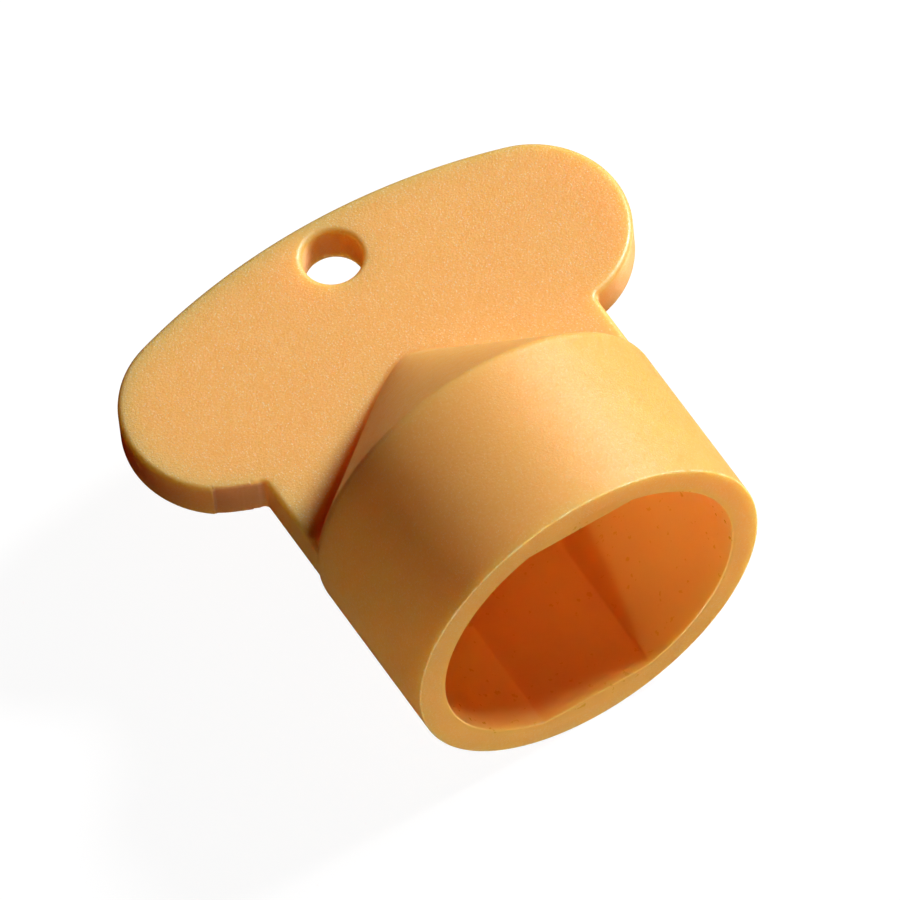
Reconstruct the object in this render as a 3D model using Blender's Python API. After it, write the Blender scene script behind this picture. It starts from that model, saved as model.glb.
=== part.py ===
"""Moulded plastic service key: a winged grip plate on a round cup with a two-flat socket.

The key lies on its side. Local Y runs along the cup's axis from the open mouth to the top of the
wing, local X runs across the wing, and local Z is square to the wing's flat faces.
"""
import math

import bmesh
import bpy

# Driving dimensions, in metres
CUP_RADIUS = 0.01415
CUP_DEPTH = 0.0140          # open mouth to the shoulder where the roof starts
ROOF_HEIGHT = 0.0121        # shoulder to the point of the conical roof
SHOULDER_CHAMFER = 0.0003
WALL = 0.0021

SOCKET_RADIUS = 0.0120      # round part of the socket
SOCKET_FLAT = 0.0112        # axis to each flat: 22.4 mm across the flats
MOUTH_CHAMFER = 0.00015     # broken edges of the rim

KEY_LENGTH = 0.0382         # open mouth to the top of the wing
WING_THICKNESS = 0.0036
LOBE_RADIUS = 0.0074       # round end of each wing lobe
LOBE_CENTRE_X = 0.01305
LOBE_CENTRE_Y = 0.02875     # above the open mouth
NECK_HALF_WIDTH = 0.01395
ARMPIT_RADIUS = 0.0005      # inside corner between a lobe and the neck
WING_EDGE_RADIUS = 0.0003

HOLE_RADIUS = 0.0023
HOLE_CENTRE_Y = 0.0346      # above the open mouth
HOLE_LIP = 0.0003

# Facets
ROUND_SEGMENTS = 96
HOLE_SEGMENTS = 40
TOP_ARC_POINTS = 15
LOBE_ARC_POINTS = 20
ARMPIT_POINTS = 4
EDGE_SEGMENTS = 2

CUT_CLEARANCE = 0.002       # how far a cutter runs past the face it opens
NECK_ROOT_DEPTH = 0.0008    # how far the neck reaches below the shoulder, inside the cup's wall

AMBER = (0.82, 0.36, 0.08, 1.0)


def clear_scene():
    for item in list(bpy.data.objects):
        bpy.data.objects.remove(item, do_unlink=True)


def amber_plastic():
    material = bpy.data.materials.new("amber_plastic")
    material.use_nodes = True
    shader = material.node_tree.nodes["Principled BSDF"]
    shader.inputs["Base Color"].default_value = AMBER
    shader.inputs["Roughness"].default_value = 0.45
    shader.inputs["Metallic"].default_value = 0.0
    return material


def new_object(name, bm):
    bmesh.ops.recalc_face_normals(bm, faces=bm.faces)
    mesh = bpy.data.meshes.new(name)
    bm.to_mesh(mesh)
    bm.free()
    item = bpy.data.objects.new(name, mesh)
    bpy.context.collection.objects.link(item)
    return item


def as_guide(item, parent):
    item.parent = parent
    item.hide_render = True
    item.display_type = "WIRE"
    return item


def boolean(target, operand, operation):
    modifier = target.modifiers.new(operand.name, "BOOLEAN")
    modifier.operation = operation
    modifier.solver = "EXACT"
    modifier.object = operand


def arc(centre, radius, start, end, count):
    """Points on an arc in the XY plane, both ends included."""
    points = []
    for step in range(count):
        angle = start + (end - start) * step / (count - 1)
        points.append((centre[0] + radius * math.cos(angle), centre[1] + radius * math.sin(angle)))
    return points


def turned_solid(name, profile, segments, axis):
    """A closed solid turned about the local axis 'Y' or 'Z' from (radius, height) points.

    The profile's first and last points lie on the axis.
    """
    bm = bmesh.new()
    rings = []
    for radius, height in profile:
        count = 1 if radius == 0.0 else segments
        ring = []
        for step in range(count):
            angle = 2.0 * math.pi * step / segments
            across, out = radius * math.cos(angle), radius * math.sin(angle)
            place = (across, height, out) if axis == "Y" else (across, out, height)
            ring.append(bm.verts.new(place))
        rings.append(ring)
    for lower, upper in zip(rings, rings[1:]):
        for step in range(segments):
            following = (step + 1) % segments
            corners = [lower[step % len(lower)], lower[following % len(lower)],
                       upper[following % len(upper)], upper[step % len(upper)]]
            bm.faces.new(list(dict.fromkeys(corners)))
    return new_object(name, bm)


def extruded_solid(name, outline, thickness):
    """A flat plate with the given outline, centred on the local XY plane."""
    bm = bmesh.new()
    face = bm.faces.new([bm.verts.new((x, y, -thickness / 2.0)) for x, y in outline])
    made = bmesh.ops.extrude_face_region(bm, geom=[face])
    raised = [vert for vert in made["geom"] if isinstance(vert, bmesh.types.BMVert)]
    bmesh.ops.translate(bm, verts=raised, vec=(0.0, 0.0, thickness))
    return new_object(name, bm)


def cup_outside():
    roof_top = CUP_DEPTH + ROOF_HEIGHT
    chamfer_rise = SHOULDER_CHAMFER * ROOF_HEIGHT / CUP_RADIUS
    profile = [
        (0.0, 0.0),
        (CUP_RADIUS - MOUTH_CHAMFER, 0.0),
        (CUP_RADIUS, MOUTH_CHAMFER),
        (CUP_RADIUS, CUP_DEPTH - SHOULDER_CHAMFER),
        (CUP_RADIUS - SHOULDER_CHAMFER, CUP_DEPTH + chamfer_rise),
        (0.0, roof_top),
    ]
    return turned_solid("key_body", profile, ROUND_SEGMENTS, "Y")


def wing_outline():
    """Half the wing's outline from the top centre down to the neck's root, then its mirror image."""
    rise = KEY_LENGTH - LOBE_CENTRE_Y
    top_radius = (LOBE_CENTRE_X ** 2 + rise ** 2 - LOBE_RADIUS ** 2) / (2.0 * (rise - LOBE_RADIUS))
    top_centre_y = KEY_LENGTH - top_radius
    joint_angle = math.atan2(LOBE_CENTRE_Y - top_centre_y, LOBE_CENTRE_X)
    top = arc((0.0, top_centre_y), top_radius, math.pi / 2.0, joint_angle, TOP_ARC_POINTS)

    # The armpit's round touches the neck's side and the lobe's underside from outside both.
    armpit_x = NECK_HALF_WIDTH + ARMPIT_RADIUS
    reach = LOBE_RADIUS + ARMPIT_RADIUS
    armpit_y = LOBE_CENTRE_Y - math.sqrt(reach ** 2 - (armpit_x - LOBE_CENTRE_X) ** 2)
    underside = math.atan2(armpit_y - LOBE_CENTRE_Y, armpit_x - LOBE_CENTRE_X)
    lobe = arc((LOBE_CENTRE_X, LOBE_CENTRE_Y), LOBE_RADIUS, joint_angle, underside, LOBE_ARC_POINTS)
    armpit = arc((armpit_x, armpit_y), ARMPIT_RADIUS, underside + math.pi, math.pi, ARMPIT_POINTS)
    root = [(NECK_HALF_WIDTH, CUP_DEPTH - NECK_ROOT_DEPTH)]

    right = top + lobe[1:] + armpit[1:] + root
    left = [(-x, y) for x, y in reversed(right[1:])]
    return right + left


def wing_plate():
    plate = extruded_solid("wing_plate", wing_outline(), WING_THICKNESS)
    bevel = plate.modifiers.new("rounded_edges", "BEVEL")
    bevel.width = WING_EDGE_RADIUS
    bevel.segments = EDGE_SEGMENTS
    bevel.limit_method = "ANGLE"
    bevel.angle_limit = math.radians(60.0)
    return plate


def socket_outline(inset):
    """The socket's section in X and Z: a circle with two opposite flats, grown outwards by inset."""
    radius = SOCKET_RADIUS + inset
    flat = SOCKET_FLAT + inset
    corner = math.asin(flat / radius)
    points = []
    for step in range(ROUND_SEGMENTS):
        angle = 2.0 * math.pi * step / ROUND_SEGMENTS
        if abs(math.sin(angle)) < math.sin(corner) - 1e-6:
            points.append((angle, radius * math.cos(angle), radius * math.sin(angle)))
    for angle in (corner, math.pi - corner, math.pi + corner, 2.0 * math.pi - corner):
        points.append((angle, radius * math.cos(angle), radius * math.sin(angle)))
    return [(x, z) for _, x, z in sorted(points)]


def socket_cutter():
    """The hollow: a chamfered mouth, the two-flat bore and a roof one wall below the outer cone."""
    slope = ROOF_HEIGHT / CUP_RADIUS
    roof_drop = WALL * math.sqrt(1.0 + slope ** 2)
    tip = CUP_DEPTH + ROOF_HEIGHT - roof_drop
    roof_start = tip - slope * SOCKET_RADIUS
    levels = [
        (-CUT_CLEARANCE, MOUTH_CHAMFER),
        (0.0, MOUTH_CHAMFER),
        (MOUTH_CHAMFER, 0.0),
        (roof_start, 0.0),
    ]
    bm = bmesh.new()
    loops = []
    for height, inset in levels:
        loops.append([bm.verts.new((x, height, z)) for x, z in socket_outline(inset)])
    bm.faces.new(loops[0])
    for lower, upper in zip(loops, loops[1:]):
        for step in range(len(lower)):
            following = (step + 1) % len(lower)
            bm.faces.new([lower[step], lower[following], upper[following], upper[step]])
    point = bm.verts.new((0.0, tip, 0.0))
    last = loops[-1]
    for step in range(len(last)):
        bm.faces.new([last[step], last[(step + 1) % len(last)], point])
    return new_object("socket_cutter", bm)


def hole_cutter():
    face = WING_THICKNESS / 2.0
    past = face + CUT_CLEARANCE
    wide = HOLE_RADIUS + HOLE_LIP
    profile = [
        (0.0, -past),
        (wide, -past),
        (wide, -face),
        (HOLE_RADIUS, HOLE_LIP - face),
        (HOLE_RADIUS, face - HOLE_LIP),
        (wide, face),
        (wide, past),
        (0.0, past),
    ]
    cutter = turned_solid("hole_cutter", profile, HOLE_SEGMENTS, "Z")
    cutter.location.y = HOLE_CENTRE_Y
    return cutter


def build_key():
    key = cup_outside()
    key.data.materials.append(amber_plastic())
    boolean(key, as_guide(wing_plate(), key), "UNION")
    boolean(key, as_guide(socket_cutter(), key), "DIFFERENCE")
    boolean(key, as_guide(hole_cutter(), key), "DIFFERENCE")
    key.data.shade_smooth()
    key.data.set_sharp_from_angle(angle=math.radians(30.0))
    # Lying on the cup's side, with the box's centre over the origin.
    key.location = (0.0, -KEY_LENGTH / 2.0, CUP_RADIUS)


clear_scene()
build_key()
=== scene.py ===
"""Looks of the moulded service key: fine mesh, translucent amber plastic, studio and camera."""
import math

import bmesh
import bpy
from mathutils import Matrix, Vector


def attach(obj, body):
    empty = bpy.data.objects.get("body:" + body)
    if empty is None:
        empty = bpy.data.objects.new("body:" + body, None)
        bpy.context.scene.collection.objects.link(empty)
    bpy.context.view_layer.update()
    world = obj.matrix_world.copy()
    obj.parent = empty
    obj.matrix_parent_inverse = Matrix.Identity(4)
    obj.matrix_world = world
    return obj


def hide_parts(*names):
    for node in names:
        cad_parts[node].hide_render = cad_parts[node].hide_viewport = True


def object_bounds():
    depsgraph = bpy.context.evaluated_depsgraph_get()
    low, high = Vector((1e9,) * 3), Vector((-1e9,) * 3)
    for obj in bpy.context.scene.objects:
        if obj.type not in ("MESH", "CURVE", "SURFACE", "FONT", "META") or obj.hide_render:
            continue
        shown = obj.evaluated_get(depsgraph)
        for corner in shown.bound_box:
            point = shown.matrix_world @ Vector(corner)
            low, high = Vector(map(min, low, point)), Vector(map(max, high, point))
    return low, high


MM = 0.001

# The key's dimensions in millimetres, from the open mouth along local Y
CUP_DEPTH = 14.0
ROOF_HEIGHT = 12.1
SHOULDER_RADIUS = 0.8
RIM_RADIUS = 0.12
WALL = 2.1
SOCKET_RADIUS = 12.0
SOCKET_FLAT = 11.2
WING_THICKNESS = 3.6
WING_EDGE_RADIUS = 0.42
WING_ROOT_DEPTH = 0.8
LOBE_RADIUS = 7.4
LOBE_CENTRE = (13.05, 28.75)
NECK_HALF_WIDTH = 13.95
ARMPIT_RADIUS = 0.5
HOLE_RADIUS = 2.20
HOLE_LIP = 0.45
HOLE_UNDER_LIP = 0.10
HOLE_CENTRE_Y = 34.7
FILLET_RADIUS = 0.6

# Trimmed gate under the left lobe: distance across the wing, and how far the wall stands out there
GATE_WITNESS = ((-20.3, 0.0), (-19.2, 0.07), (-17.6, 0.12), (-17.5, 0.14), (-17.2, -0.07), (-16.0, -0.08),
                (-15.72, -0.07), (-15.6, -0.045), (-15.4, -0.04), (-15.0, 0.02),
                (-14.5, 0.14), (-13.9, 0.12))
GATE_SPAN = (-17.3, -14.9)
GATE_HEIGHTS = (20.0, LOBE_CENTRE[1] - 2.0)
GATE_EDGE_SHARE = 0.6

# How finely the curves are cut
CUP_SEGMENTS = 256
SOCKET_STEPS = 97
HOLE_SEGMENTS = 96
EDGE_STEPS = 6
RIM_STEPS = 5
SHOULDER_STEPS = 8
TOP_STEPS = 60
LOBE_OUTER_STEPS = 60
LOBE_LOWER_STEPS = 90
ARMPIT_STEPS = 10
FILLET_TRACK_STEPS = 60
FILLET_STEPS = 8

# Room that cutters and the fillet's bar keep beyond the surfaces they meet
CUTTER_SPARE = 2.0
FILLET_SPARE = 0.4
FILLET_SPARE_ANGLE = math.radians(4.0)
WELD_DISTANCE = 2e-7
SHARP_ANGLE = math.radians(32.0)

# Amber plastic: pigment, its paler flecks, glints painted as highlights, the rim's worn edge with a painted
# highlight, painted shade on the trimmed gate, and how far light scatters in it
AMBER_DARK = (0.935, 0.460, 0.101, 1.0)
AMBER_LIGHT = (0.945, 0.480, 0.110, 1.0)
MOTTLE = (0.970, 0.60, 0.25, 1.0)
PAINTED_GLINT = (1.0, 0.86, 0.62, 1.0)
WORN_EDGE_AND_HIGHLIGHT = (1.0, 0.76, 0.42, 1.0)
GATE_PAINTED_SHADE = (0.50, 0.150, 0.030, 1.0)
SCATTER_RADIUS = (0.58, 0.46, 0.28)
SCATTER_SCALE = 0.0055
GRAIN_TURN = (0.6, 0.9, 0.4)
GRAIN_DEPTH = 0.000042

FLOOR_COLOUR = (0.11, 0.11, 0.11, 1.0)
FLOOR_DROP = 0.02
FLOOR_HALF = 3000.0

# Photograph's viewing direction and framing
VIEW_AZIMUTH = math.radians(-26.553)
VIEW_ELEVATION = math.radians(57.853)
VIEW_ROLL = math.radians(6.239)
VIEW_DISTANCE = 1.46144
VIEW_OFFSET = (0.009911, -0.011493)
VIEW_LENS = 823.4

# Studio, in metres and watts: name, direction from the key, distance, width, power and colour
LAMPS_AIM = (0.0, 0.0, 0.014)
SOFT_LIGHTS = (
    ("window", (0.76, 0.02, 0.65), 1.2, 0.34, 21.0, (1.0, 1.0, 1.0)),
    ("low_card", (0.75, -0.05, -0.65), 0.6, 0.35, 1.9, (1.0, 0.60, 0.35)),
    ("front_fill", (-0.10, -0.85, -0.45), 0.6, 0.3, 0.52, (1.0, 0.95, 0.90)),
    ("back_fill", (-0.35, 0.85, 0.30), 0.8, 0.5, 0.28, (1.0, 0.20, 0.08)),
)
# The mouth light shines into the cup's open end, and is aimed beside its middle, in millimetres
MOUTH_LIGHT_FROM = (-0.62, -0.78, -0.08)
MOUTH_LIGHT_AIM = (18.0, 0.0, -4.0)
MOUTH_LIGHT_DISTANCE = 0.6
MOUTH_LIGHT_SPREAD = math.radians(3.6)
MOUTH_LIGHT_POWER = 64.0
MOUTH_LIGHT_COLOUR = (1.0, 0.86, 0.64)
WORLD_COLOUR = (1.0, 0.60, 0.40, 1.0)
WORLD_STRENGTH = 0.003


def arc(centre, radius, start, end, count):
    points = []
    for step in range(count):
        angle = start + (end - start) * step / (count - 1)
        points.append((centre[0] + radius * math.cos(angle), centre[1] + radius * math.sin(angle)))
    return points


def new_object(name, bm):
    bmesh.ops.recalc_face_normals(bm, faces=bm.faces)
    bmesh.ops.scale(bm, verts=bm.verts, vec=(MM, MM, MM))
    mesh = bpy.data.meshes.new(name)
    bm.to_mesh(mesh)
    bm.free()
    item = bpy.data.objects.new(name, mesh)
    bpy.context.collection.objects.link(item)
    return item


def lofted_solid(name, loops):
    """Closed solid through equal loops of points; a loop of one point closes an end to a tip."""
    bm = bmesh.new()
    rings = [[bm.verts.new(point) for point in loop] for loop in loops]
    count = max(len(ring) for ring in rings)
    for lower, upper in zip(rings, rings[1:]):
        for step in range(count):
            following = (step + 1) % count
            corners = [lower[step % len(lower)], lower[following % len(lower)],
                       upper[following % len(upper)], upper[step % len(upper)]]
            bm.faces.new(list(dict.fromkeys(corners)))
    for ring in (rings[0], rings[-1]):
        if len(ring) > 1:
            bm.faces.new(ring)
    return new_object(name, bm)


def turned_solid(name, profile, segments, axis, centre_y=0.0):
    """Solid of revolution from (radius, height) points, around the key's Y axis or a line along Z."""
    loops = []
    for radius, height in profile:
        count = 1 if radius == 0.0 else segments
        loop = []
        for step in range(count):
            angle = 2.0 * math.pi * step / segments
            across, out = radius * math.cos(angle), radius * math.sin(angle)
            loop.append((across, height, out) if axis == "Y" else (across, centre_y + out, height))
        loops.append(loop)
    return lofted_solid(name, loops)


def cup_outside(radius):
    """The cup and its conical roof, solid, with a rounded rim and shoulder."""
    turn = math.atan2(radius, ROOF_HEIGHT)
    tangent = SHOULDER_RADIUS * math.tan(turn / 2.0)
    profile = [(0.0, 0.0)]
    profile += arc((radius - RIM_RADIUS, RIM_RADIUS), RIM_RADIUS, -math.pi / 2.0, 0.0, RIM_STEPS)
    shoulder = (radius - SHOULDER_RADIUS, CUP_DEPTH - tangent)
    profile += arc(shoulder, SHOULDER_RADIUS, 0.0, turn, SHOULDER_STEPS)
    profile.append((0.0, CUP_DEPTH + ROOF_HEIGHT))
    return turned_solid("key_moulding", profile, CUP_SEGMENTS, "Y")


def table_value(table, place):
    if place <= table[0][0] or place >= table[-1][0]:
        return table[0][1] if place <= table[0][0] else table[-1][1]
    for (x0, v0), (x1, v1) in zip(table, table[1:]):
        if place <= x1:
            return v0 + (v1 - v0) * (place - x0) / (x1 - x0)


def wing_outline(length, inset):
    """The wing's outline, drawn in by inset: shallow top arc, two lobes, armpits and neck."""
    rise = length - LOBE_CENTRE[1]
    top_radius = (LOBE_CENTRE[0] ** 2 + rise ** 2 - LOBE_RADIUS ** 2) / (2.0 * (rise - LOBE_RADIUS))
    top_centre_y = length - top_radius
    joint = math.atan2(LOBE_CENTRE[1] - top_centre_y, LOBE_CENTRE[0])
    top = arc((0.0, top_centre_y), top_radius - inset, math.pi / 2.0, joint, TOP_STEPS)
    armpit_x = NECK_HALF_WIDTH + ARMPIT_RADIUS
    reach = LOBE_RADIUS + ARMPIT_RADIUS
    armpit_y = LOBE_CENTRE[1] - math.sqrt(reach ** 2 - (armpit_x - LOBE_CENTRE[0]) ** 2)
    underside = math.atan2(armpit_y - LOBE_CENTRE[1], armpit_x - LOBE_CENTRE[0])
    low_start = -0.25 * math.pi
    lobe = arc(LOBE_CENTRE, LOBE_RADIUS - inset, joint, low_start, LOBE_OUTER_STEPS)
    lobe += arc(LOBE_CENTRE, LOBE_RADIUS - inset, low_start, underside, LOBE_LOWER_STEPS)[1:]
    armpit = arc((armpit_x, armpit_y), ARMPIT_RADIUS + inset, underside + math.pi, math.pi, ARMPIT_STEPS)
    root = [(NECK_HALF_WIDTH - inset, CUP_DEPTH - WING_ROOT_DEPTH)]
    right = top + lobe[1:] + armpit[1:] + root
    left = []
    for x, y in reversed(right[1:]):
        if GATE_HEIGHTS[0] < y < GATE_HEIGHTS[1]:
            y -= table_value(GATE_WITNESS, -x)
            if GATE_SPAN[0] < -x < GATE_SPAN[1]:
                y -= GATE_EDGE_SHARE * inset
        left.append((-x, y))
    return right + left


def wing_plate(length):
    face = WING_THICKNESS / 2.0
    levels = []
    for step in range(EDGE_STEPS):
        angle = math.pi / 2.0 * step / (EDGE_STEPS - 1)
        inset = WING_EDGE_RADIUS * (1.0 - math.sin(angle))
        levels.append((inset, face - WING_EDGE_RADIUS * (1.0 - math.cos(angle))))
    levels = [(inset, -z) for inset, z in levels] + [(inset, z) for inset, z in reversed(levels)]
    loops = [[(x, y, z) for x, y in wing_outline(length, inset)] for inset, z in levels]
    return lofted_solid("wing_plate", loops)


def roof_fillet(radius, side):
    """The small hollow that runs along the roof where one face of the wing comes out of it."""
    size = math.hypot(radius, ROOF_HEIGHT)
    slope_r, slope_y = ROOF_HEIGHT / size, radius / size
    tip = CUP_DEPTH + ROOF_HEIGHT
    flat_half = NECK_HALF_WIDTH - WING_EDGE_RADIUS
    wing_face = WING_THICKNESS / 2.0
    half = [(step * flat_half / FILLET_TRACK_STEPS, wing_face) for step in range(FILLET_TRACK_STEPS)]
    for step in range(EDGE_STEPS + 1):
        angle = math.pi / 2.0 * step / EDGE_STEPS
        half.append((NECK_HALF_WIDTH - WING_EDGE_RADIUS * (1.0 - math.sin(angle)),
                     wing_face - WING_EDGE_RADIUS * (1.0 - math.cos(angle))))
    track = [(-x, z) for x, z in reversed(half[1:])] + half
    loops = []
    for x, face in track:
        z = face + FILLET_RADIUS
        r = math.hypot(x, z)
        centre = Vector((x, tip + (FILLET_RADIUS - slope_r * r) / slope_y, z))
        to_face = Vector((0.0, 0.0, -1.0))
        to_roof = -Vector((slope_r * x / r, slope_y, slope_r * z / r))
        between = to_face.angle(to_roof)
        loop = []
        for step in range(FILLET_STEPS + 1):
            turn = -FILLET_SPARE_ANGLE + (between + 2.0 * FILLET_SPARE_ANGLE) * step / FILLET_STEPS
            ray = (to_face * math.sin(between - turn) + to_roof * math.sin(turn)) / math.sin(between)
            loop.append(centre + ray * FILLET_RADIUS)
        loop.append(centre + (to_face + to_roof) * (FILLET_RADIUS + FILLET_SPARE))
        loops.append([(p.x, p.y, side * p.z) for p in loop])
    return lofted_solid("roof_fillet", loops)


def socket_outline(inset):
    radius = SOCKET_RADIUS + inset
    corner = math.asin((SOCKET_FLAT + inset) / radius)
    right = arc((0.0, 0.0), radius, -corner, corner, SOCKET_STEPS)
    return right + [(-x, z) for x, z in reversed(right)]


def socket_cutter(cup_radius):
    """The socket: round with two flats, rounded at the mouth, closed by a cone parallel to the roof."""
    slope = ROOF_HEIGHT / cup_radius
    roof_drop = WALL * math.sqrt(1.0 + slope ** 2)
    tip = CUP_DEPTH + ROOF_HEIGHT - roof_drop
    roof_start = tip - slope * SOCKET_RADIUS
    levels = [(RIM_RADIUS, -CUTTER_SPARE)]
    for step in range(RIM_STEPS):
        angle = math.pi / 2.0 * step / (RIM_STEPS - 1)
        levels.append((RIM_RADIUS * (1.0 - math.sin(angle)), RIM_RADIUS * (1.0 - math.cos(angle))))
    levels.append((0.0, roof_start))
    loops = [[(x, height, z) for x, z in socket_outline(inset)] for inset, height in levels]
    loops.append([(0.0, tip, 0.0)])
    return lofted_solid("socket_cutter", loops)


def hole_cutter():
    face = WING_THICKNESS / 2.0
    wide = HOLE_RADIUS + HOLE_LIP
    under = HOLE_RADIUS + HOLE_UNDER_LIP
    low_end, high_end = -face - CUTTER_SPARE, face + CUTTER_SPARE
    profile = [(0.0, low_end), (under, low_end)]
    profile += arc((under, HOLE_UNDER_LIP - face), HOLE_UNDER_LIP, -math.pi / 2.0, -math.pi, 5)
    profile += arc((wide, face - HOLE_LIP), HOLE_LIP, math.pi, math.pi / 2.0, 8)
    profile += [(wide, high_end), (0.0, high_end)]
    return turned_solid("hole_cutter", profile, HOLE_SEGMENTS, "Z", HOLE_CENTRE_Y)


def combine(target, operand, operation):
    modifier = target.modifiers.new(operand.name, "BOOLEAN")
    modifier.operation = operation
    modifier.solver = "EXACT"
    modifier.object = operand
    graph = bpy.context.evaluated_depsgraph_get()
    graph.update()
    mesh = bpy.data.meshes.new_from_object(target.evaluated_get(graph))
    target.modifiers.clear()
    target.data = mesh
    bpy.data.objects.remove(operand, do_unlink=True)


def key_moulding(length, cup_radius, origin):
    key = cup_outside(cup_radius)
    combine(key, wing_plate(length), "UNION")
    combine(key, roof_fillet(cup_radius, 1.0), "UNION")
    combine(key, roof_fillet(cup_radius, -1.0), "UNION")
    combine(key, socket_cutter(cup_radius), "DIFFERENCE")
    combine(key, hole_cutter(), "DIFFERENCE")
    bm = bmesh.new()
    bm.from_mesh(key.data)
    bmesh.ops.remove_doubles(bm, verts=bm.verts, dist=WELD_DISTANCE)
    # A corner between only two faces would make a folded sliver when they are cut into triangles
    between_two = [v for v in bm.verts if len(v.link_edges) == 2]
    bmesh.ops.dissolve_verts(bm, verts=between_two)
    bm.to_mesh(key.data)
    bm.free()
    key.data.transform(Matrix.Translation(origin))
    key.data.shade_smooth()
    key.data.set_sharp_from_angle(angle=SHARP_ANGLE)
    weighted = key.modifiers.new("even_normals", "WEIGHTED_NORMAL")
    weighted.mode = "FACE_AREA"
    weighted.weight = 100
    weighted.keep_sharp = True
    return key


class Nodes:
    """Short calls for laying out a material's nodes."""

    def __init__(self, name):
        self.material = bpy.data.materials.new(name)
        self.material.use_nodes = True
        self.tree = self.material.node_tree
        self.shader = self.tree.nodes["Principled BSDF"]

    def feed(self, socket, value):
        """Link an output to the socket, or set the socket to a constant."""
        if hasattr(value, "is_output"):
            self.tree.links.new(value, socket)
        else:
            socket.default_value = value

    def add(self, kind, settings=(), **inputs):
        node = self.tree.nodes.new(kind)
        for key, value in dict(settings).items():
            setattr(node, key, value)
        for key, value in inputs.items():
            self.feed(node.inputs[key.replace("_", " ")], value)
        return node

    def math(self, operation, first, second=0.0, clamp=False):
        node = self.tree.nodes.new("ShaderNodeMath")
        node.operation = operation
        node.use_clamp = clamp
        self.feed(node.inputs[0], first)
        self.feed(node.inputs[1], second)
        return node.outputs[0]

    def times(self, first, second):
        return self.math("MULTIPLY", first, second)

    def noise(self, place, scale, detail=2.0, roughness=0.5):
        node = self.add("ShaderNodeTexNoise", Scale=scale, Detail=detail, Roughness=roughness, Vector=place)
        return node.outputs["Fac"]

    def ramp(self, value, low, high, out_low=0.0, out_high=1.0):
        """A smooth step from out_low to out_high as the value goes from low to high."""
        node = self.add("ShaderNodeMapRange", {"interpolation_type": "SMOOTHSTEP"}, Value=value,
                        From_Min=low, From_Max=high, To_Min=out_low, To_Max=out_high)
        return node.outputs["Result"]

    def blend(self, factor, first, second):
        node = self.tree.nodes.new("ShaderNodeMix")
        node.data_type = "RGBA"
        sockets = [s for s in node.inputs if s.type == "RGBA"]
        self.feed(node.inputs["Factor"], factor)
        self.feed(sockets[0], first)
        self.feed(sockets[1], second)
        return [s for s in node.outputs if s.type == "RGBA"][0]


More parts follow.
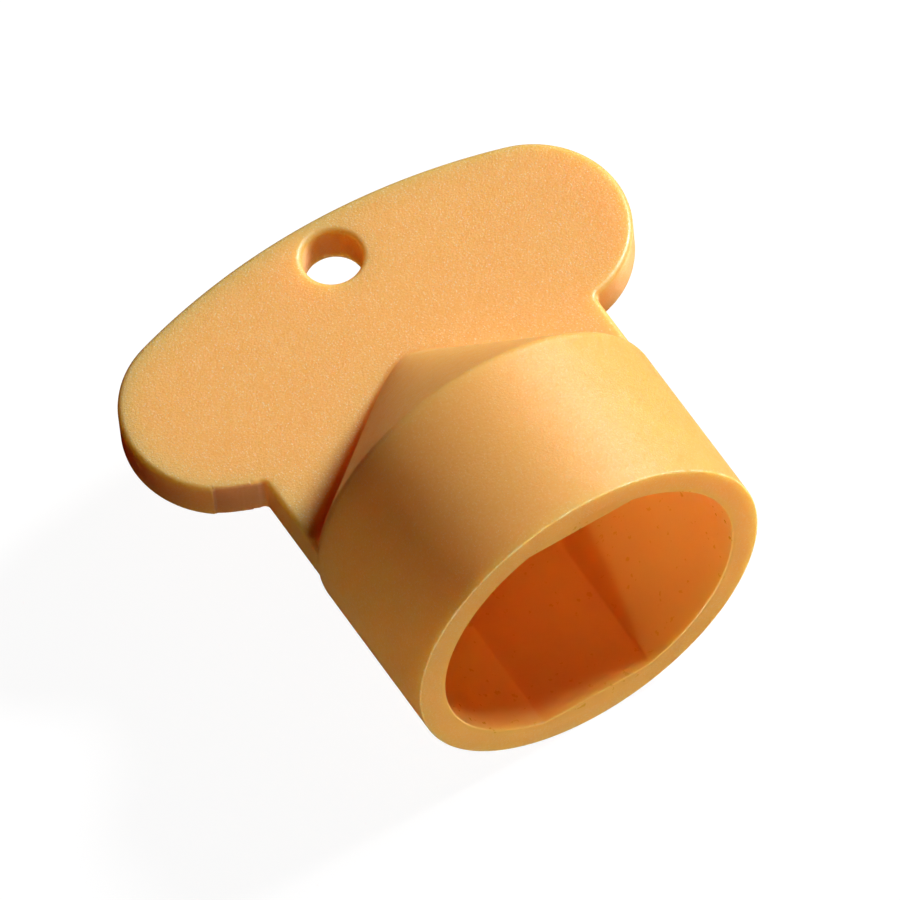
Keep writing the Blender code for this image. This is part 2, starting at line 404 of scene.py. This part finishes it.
def amber_material(origin, cup_radius):
    """Moulded amber plastic; the places in its masks are metres from the mouth's middle."""
    n = Nodes("amber_plastic_moulded")
    place = n.add("ShaderNodeTexCoord").outputs["Object"]
    split = n.add("ShaderNodeSeparateXYZ", Vector=place)
    across = split.outputs["X"]
    along = n.math("SUBTRACT", split.outputs["Y"], origin.y)
    high = n.math("SUBTRACT", split.outputs["Z"], origin.z)
    normal = n.add("ShaderNodeNewGeometry").outputs["True Normal"]
    turned = n.add("ShaderNodeSeparateXYZ", Vector=normal)
    facing, leaning = n.math("ABSOLUTE", turned.outputs["Z"]), turned.outputs["Y"]
    from_axis = n.math("POWER", n.math("ADD", n.math("POWER", across, 2.0), n.math("POWER", high, 2.0)), 0.5)

    # Where the surface is: a wing face, the inside of the socket, the rim's worn edge with its painted
    # highlight, the gate's patch of painted shade
    wing = n.times(n.ramp(facing, 0.90, 0.99), n.ramp(n.math("ABSOLUTE", high), 0.0020, 0.0019))
    wing = n.times(wing, n.ramp(along, 0.0142, 0.0150))
    inside = n.math("ADD", n.ramp(along, 0.0133, 0.0130), n.ramp(leaning, -0.3, -0.5), clamp=True)
    inside = n.times(inside, n.ramp(from_axis, 0.0125, 0.0122))
    inside = n.times(inside, n.ramp(along, 0.0235, 0.0230))
    # The rim's outer edge: real worn flash, its pale colour partly a painted highlight
    worn_rim_and_highlight = n.times(n.ramp(from_axis, cup_radius * MM - 0.00022, cup_radius * MM - 0.00005),
                       n.ramp(along, 0.00020, 0.00004))
    worn_rim_and_highlight = n.times(worn_rim_and_highlight, n.ramp(n.noise(place, 900.0, 4.0, 0.65), 0.46, 0.60))
    # Painted shade on the trimmed gate's patch under the left lobe, on its walls only
    gate_painted_shade = n.times(n.ramp(across, -0.01750, -0.01735), n.ramp(across, -0.01380, -0.01420))
    underneath = n.times(n.ramp(along, 0.0240, 0.0230), n.ramp(facing, 0.70, 0.30))
    gate_painted_shade = n.times(gate_painted_shade, n.times(underneath, n.ramp(along, 0.0205, 0.0208)))

    # The fine grain is laid out along slanted axes, so that it never lines up with the part
    skew = n.add("ShaderNodeVectorRotate", {"rotation_type": "EULER_XYZ"}, Vector=place, Rotation=GRAIN_TURN)
    fine = skew.outputs["Vector"]

    # Colour: slow clouding of the pigment, fine mottling, pale glints painted as highlights, pale wear and a
    # painted highlight on the rim's edge, painted shade on the trimmed gate
    cloud = n.noise(place, 160.0, 3.0, 0.55)
    mottle = n.noise(fine, 5200.0, 3.0, 0.7)
    colour = n.blend(n.ramp(cloud, 0.30, 0.70), AMBER_DARK, AMBER_LIGHT)
    paler = n.times(n.ramp(mottle, 0.35, 0.75, 0.0, 0.40), n.ramp(inside, 0.0, 1.0, 1.0, 0.1))
    colour = n.blend(paler, colour, MOTTLE)
    cells = n.add("ShaderNodeTexVoronoi", Scale=7500.0, Vector=fine)
    chosen = n.ramp(n.add("ShaderNodeSeparateColor", Color=cells.outputs["Color"]).outputs[0], 0.40, 0.95)
    spot = n.times(n.ramp(cells.outputs["Distance"], 0.50, 0.15), chosen)
    # Painted highlights: pale glints in the base colour, stronger on the wing faces, none in the socket
    painted_glint = n.times(spot, n.ramp(wing, 0.0, 1.0, 0.30, 0.60))
    painted_glint = n.times(painted_glint, n.math("SUBTRACT", 1.0, inside))
    colour = n.blend(painted_glint, colour, PAINTED_GLINT)
    # Pale line on the rim's outer edge: worn flash with a painted highlight
    colour = n.blend(n.times(worn_rim_and_highlight, 0.55), colour, WORN_EDGE_AND_HIGHLIGHT)
    # Painted shade darkens the gate's patch
    colour = n.blend(n.times(gate_painted_shade, 0.55), colour, GATE_PAINTED_SHADE)
    n.feed(n.shader.inputs["Base Color"], colour)

    # Satin finish, glossier on the glints and on the socket's drawn walls
    rough = n.ramp(n.noise(place, 1400.0, 3.0, 0.6), 0.3, 0.7, 0.37, 0.51)
    rough = n.math("SUBTRACT", rough, n.times(inside, 0.10))
    glossy = n.times(spot, n.ramp(inside, 0.0, 1.0, 0.14, 0.0))
    n.feed(n.shader.inputs["Roughness"], n.math("SUBTRACT", rough, glossy, clamp=True))

    # Spark-eroded grain, strong on the wing faces, fainter on the cup, and a drawn finish in the socket
    coarse = n.times(n.noise(fine, 3000.0, 2.0, 0.5), 0.25)
    grain = n.math("ADD", n.noise(fine, 6200.0, 3.0, 0.6), coarse)
    grain = n.times(grain, n.ramp(wing, 0.0, 1.0, 0.55, 1.0))
    grain = n.times(grain, n.ramp(inside, 0.0, 1.0, 1.0, 0.15))
    waves = n.times(n.noise(place, 220.0, 2.0, 0.5), 0.15)
    height = n.math("ADD", n.math("ADD", grain, waves), n.times(worn_rim_and_highlight, 0.8))
    bump = n.add("ShaderNodeBump", Strength=1.0, Distance=GRAIN_DEPTH, Height=height)
    n.feed(n.shader.inputs["Normal"], bump.outputs["Normal"])

    n.shader.subsurface_method = "RANDOM_WALK"
    for key, value in (("Subsurface Weight", 0.92), ("Subsurface Scale", SCATTER_SCALE), ("IOR", 1.49),
                       ("Subsurface Anisotropy", 0.0), ("Specular IOR Level", 0.9), ("Metallic", 0.0)):
        n.shader.inputs[key].default_value = value
    n.shader.inputs["Subsurface Radius"].default_value = SCATTER_RADIUS
    return n.material


def plain_material(name, colour, roughness, glow):
    n = Nodes(name)
    place = n.add("ShaderNodeTexCoord").outputs["Object"]
    shade = tuple(0.985 * c for c in colour[:3]) + (1.0,)
    n.feed(n.shader.inputs["Base Color"], n.blend(n.noise(place, 60.0), colour, shade))
    n.shader.inputs["Roughness"].default_value = roughness
    n.shader.inputs["Emission Color"].default_value = (1.0, 1.0, 1.0, 1.0)
    n.shader.inputs["Emission Strength"].default_value = glow
    return n.material


def studio_floor():
    bm = bmesh.new()
    corners = ((-1.0, -1.0), (1.0, -1.0), (1.0, 1.0), (-1.0, 1.0))
    bm.faces.new([bm.verts.new((x * FLOOR_HALF, y * FLOOR_HALF, -FLOOR_DROP)) for x, y in corners])
    floor = new_object("studio_floor", bm)
    floor.data.materials.append(plain_material("pale_floor", FLOOR_COLOUR, 0.9, 0.95))
    floor.visible_diffuse = False
    floor.visible_glossy = False
    floor.visible_shadow = False
    return floor


def hang_lamp(lamp, aim, towards, distance):
    """Put the lamp at a distance from the point it is aimed at, unseen by the camera."""
    item = bpy.data.objects.new(lamp.name, lamp)
    direction = Vector(towards).normalized()
    item.location = aim + direction * distance
    item.rotation_euler = direction.to_track_quat("Z", "Y").to_euler()
    item.visible_camera = False
    bpy.context.collection.objects.link(item)


def soft_light(name, towards, distance, size, power, colour):
    lamp = bpy.data.lights.new(name, "AREA")
    lamp.shape = "DISK"
    lamp.size = size
    lamp.energy = power
    lamp.color = colour
    hang_lamp(lamp, Vector(LAMPS_AIM), towards, distance)


def mouth_light(mouth):
    """Small soft-edged light on the cup's open end, aimed to the right of and below its middle."""
    lamp = bpy.data.lights.new("mouth_light", "SPOT")
    lamp.energy = MOUTH_LIGHT_POWER
    lamp.color = MOUTH_LIGHT_COLOUR
    lamp.spot_size = MOUTH_LIGHT_SPREAD
    lamp.spot_blend = 0.9
    lamp.shadow_soft_size = 0.035
    hang_lamp(lamp, mouth + Vector(MOUTH_LIGHT_AIM) * MM, MOUTH_LIGHT_FROM, MOUTH_LIGHT_DISTANCE)


def photo_camera(mouth):
    back = Vector((math.sin(VIEW_AZIMUTH) * math.cos(VIEW_ELEVATION),
                   -math.cos(VIEW_AZIMUTH) * math.cos(VIEW_ELEVATION), math.sin(VIEW_ELEVATION)))
    level = Vector((math.cos(VIEW_AZIMUTH), math.sin(VIEW_AZIMUTH), 0.0))
    upright = back.cross(level)
    right = level * math.cos(VIEW_ROLL) - upright * math.sin(VIEW_ROLL)
    up = level * math.sin(VIEW_ROLL) + upright * math.cos(VIEW_ROLL)
    lens = bpy.data.cameras.new("photo_camera")
    lens.sensor_width = 36.0
    lens.lens = VIEW_LENS
    lens.clip_start = 0.1
    lens.clip_end = 20.0
    camera = bpy.data.objects.new("photo_camera", lens)
    bpy.context.collection.objects.link(camera)
    matrix = Matrix((right, up, back)).transposed().to_4x4()
    matrix.translation = mouth + back * VIEW_DISTANCE - right * VIEW_OFFSET[0] - up * VIEW_OFFSET[1]
    camera.matrix_world = matrix
    bpy.context.scene.camera = camera


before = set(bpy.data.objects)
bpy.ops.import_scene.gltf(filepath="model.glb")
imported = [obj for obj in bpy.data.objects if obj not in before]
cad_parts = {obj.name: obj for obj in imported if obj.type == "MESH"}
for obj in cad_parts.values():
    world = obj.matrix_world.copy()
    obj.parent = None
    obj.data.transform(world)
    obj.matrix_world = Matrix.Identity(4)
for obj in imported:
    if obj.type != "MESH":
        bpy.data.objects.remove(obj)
low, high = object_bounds()
length = (high.y - low.y) / MM
cup_radius = (high.z - low.z) / 2.0 / MM
mouth = Vector((0.0, low.y, low.z + cup_radius * MM))

key = key_moulding(length, cup_radius, mouth)
key.data.materials.clear()
key.data.materials.append(amber_material(mouth, cup_radius))
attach(key, "root")
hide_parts("key_body")

studio_floor()
for settings in SOFT_LIGHTS:
    soft_light(*settings)
mouth_light(mouth)
world = bpy.data.worlds.new("studio")
bpy.context.scene.world = world
world.use_nodes = True
background = world.node_tree.nodes["Background"]
background.inputs["Color"].default_value = WORLD_COLOUR
background.inputs["Strength"].default_value = WORLD_STRENGTH
bpy.context.scene.view_settings.view_transform = "Standard"
photo_camera(mouth)
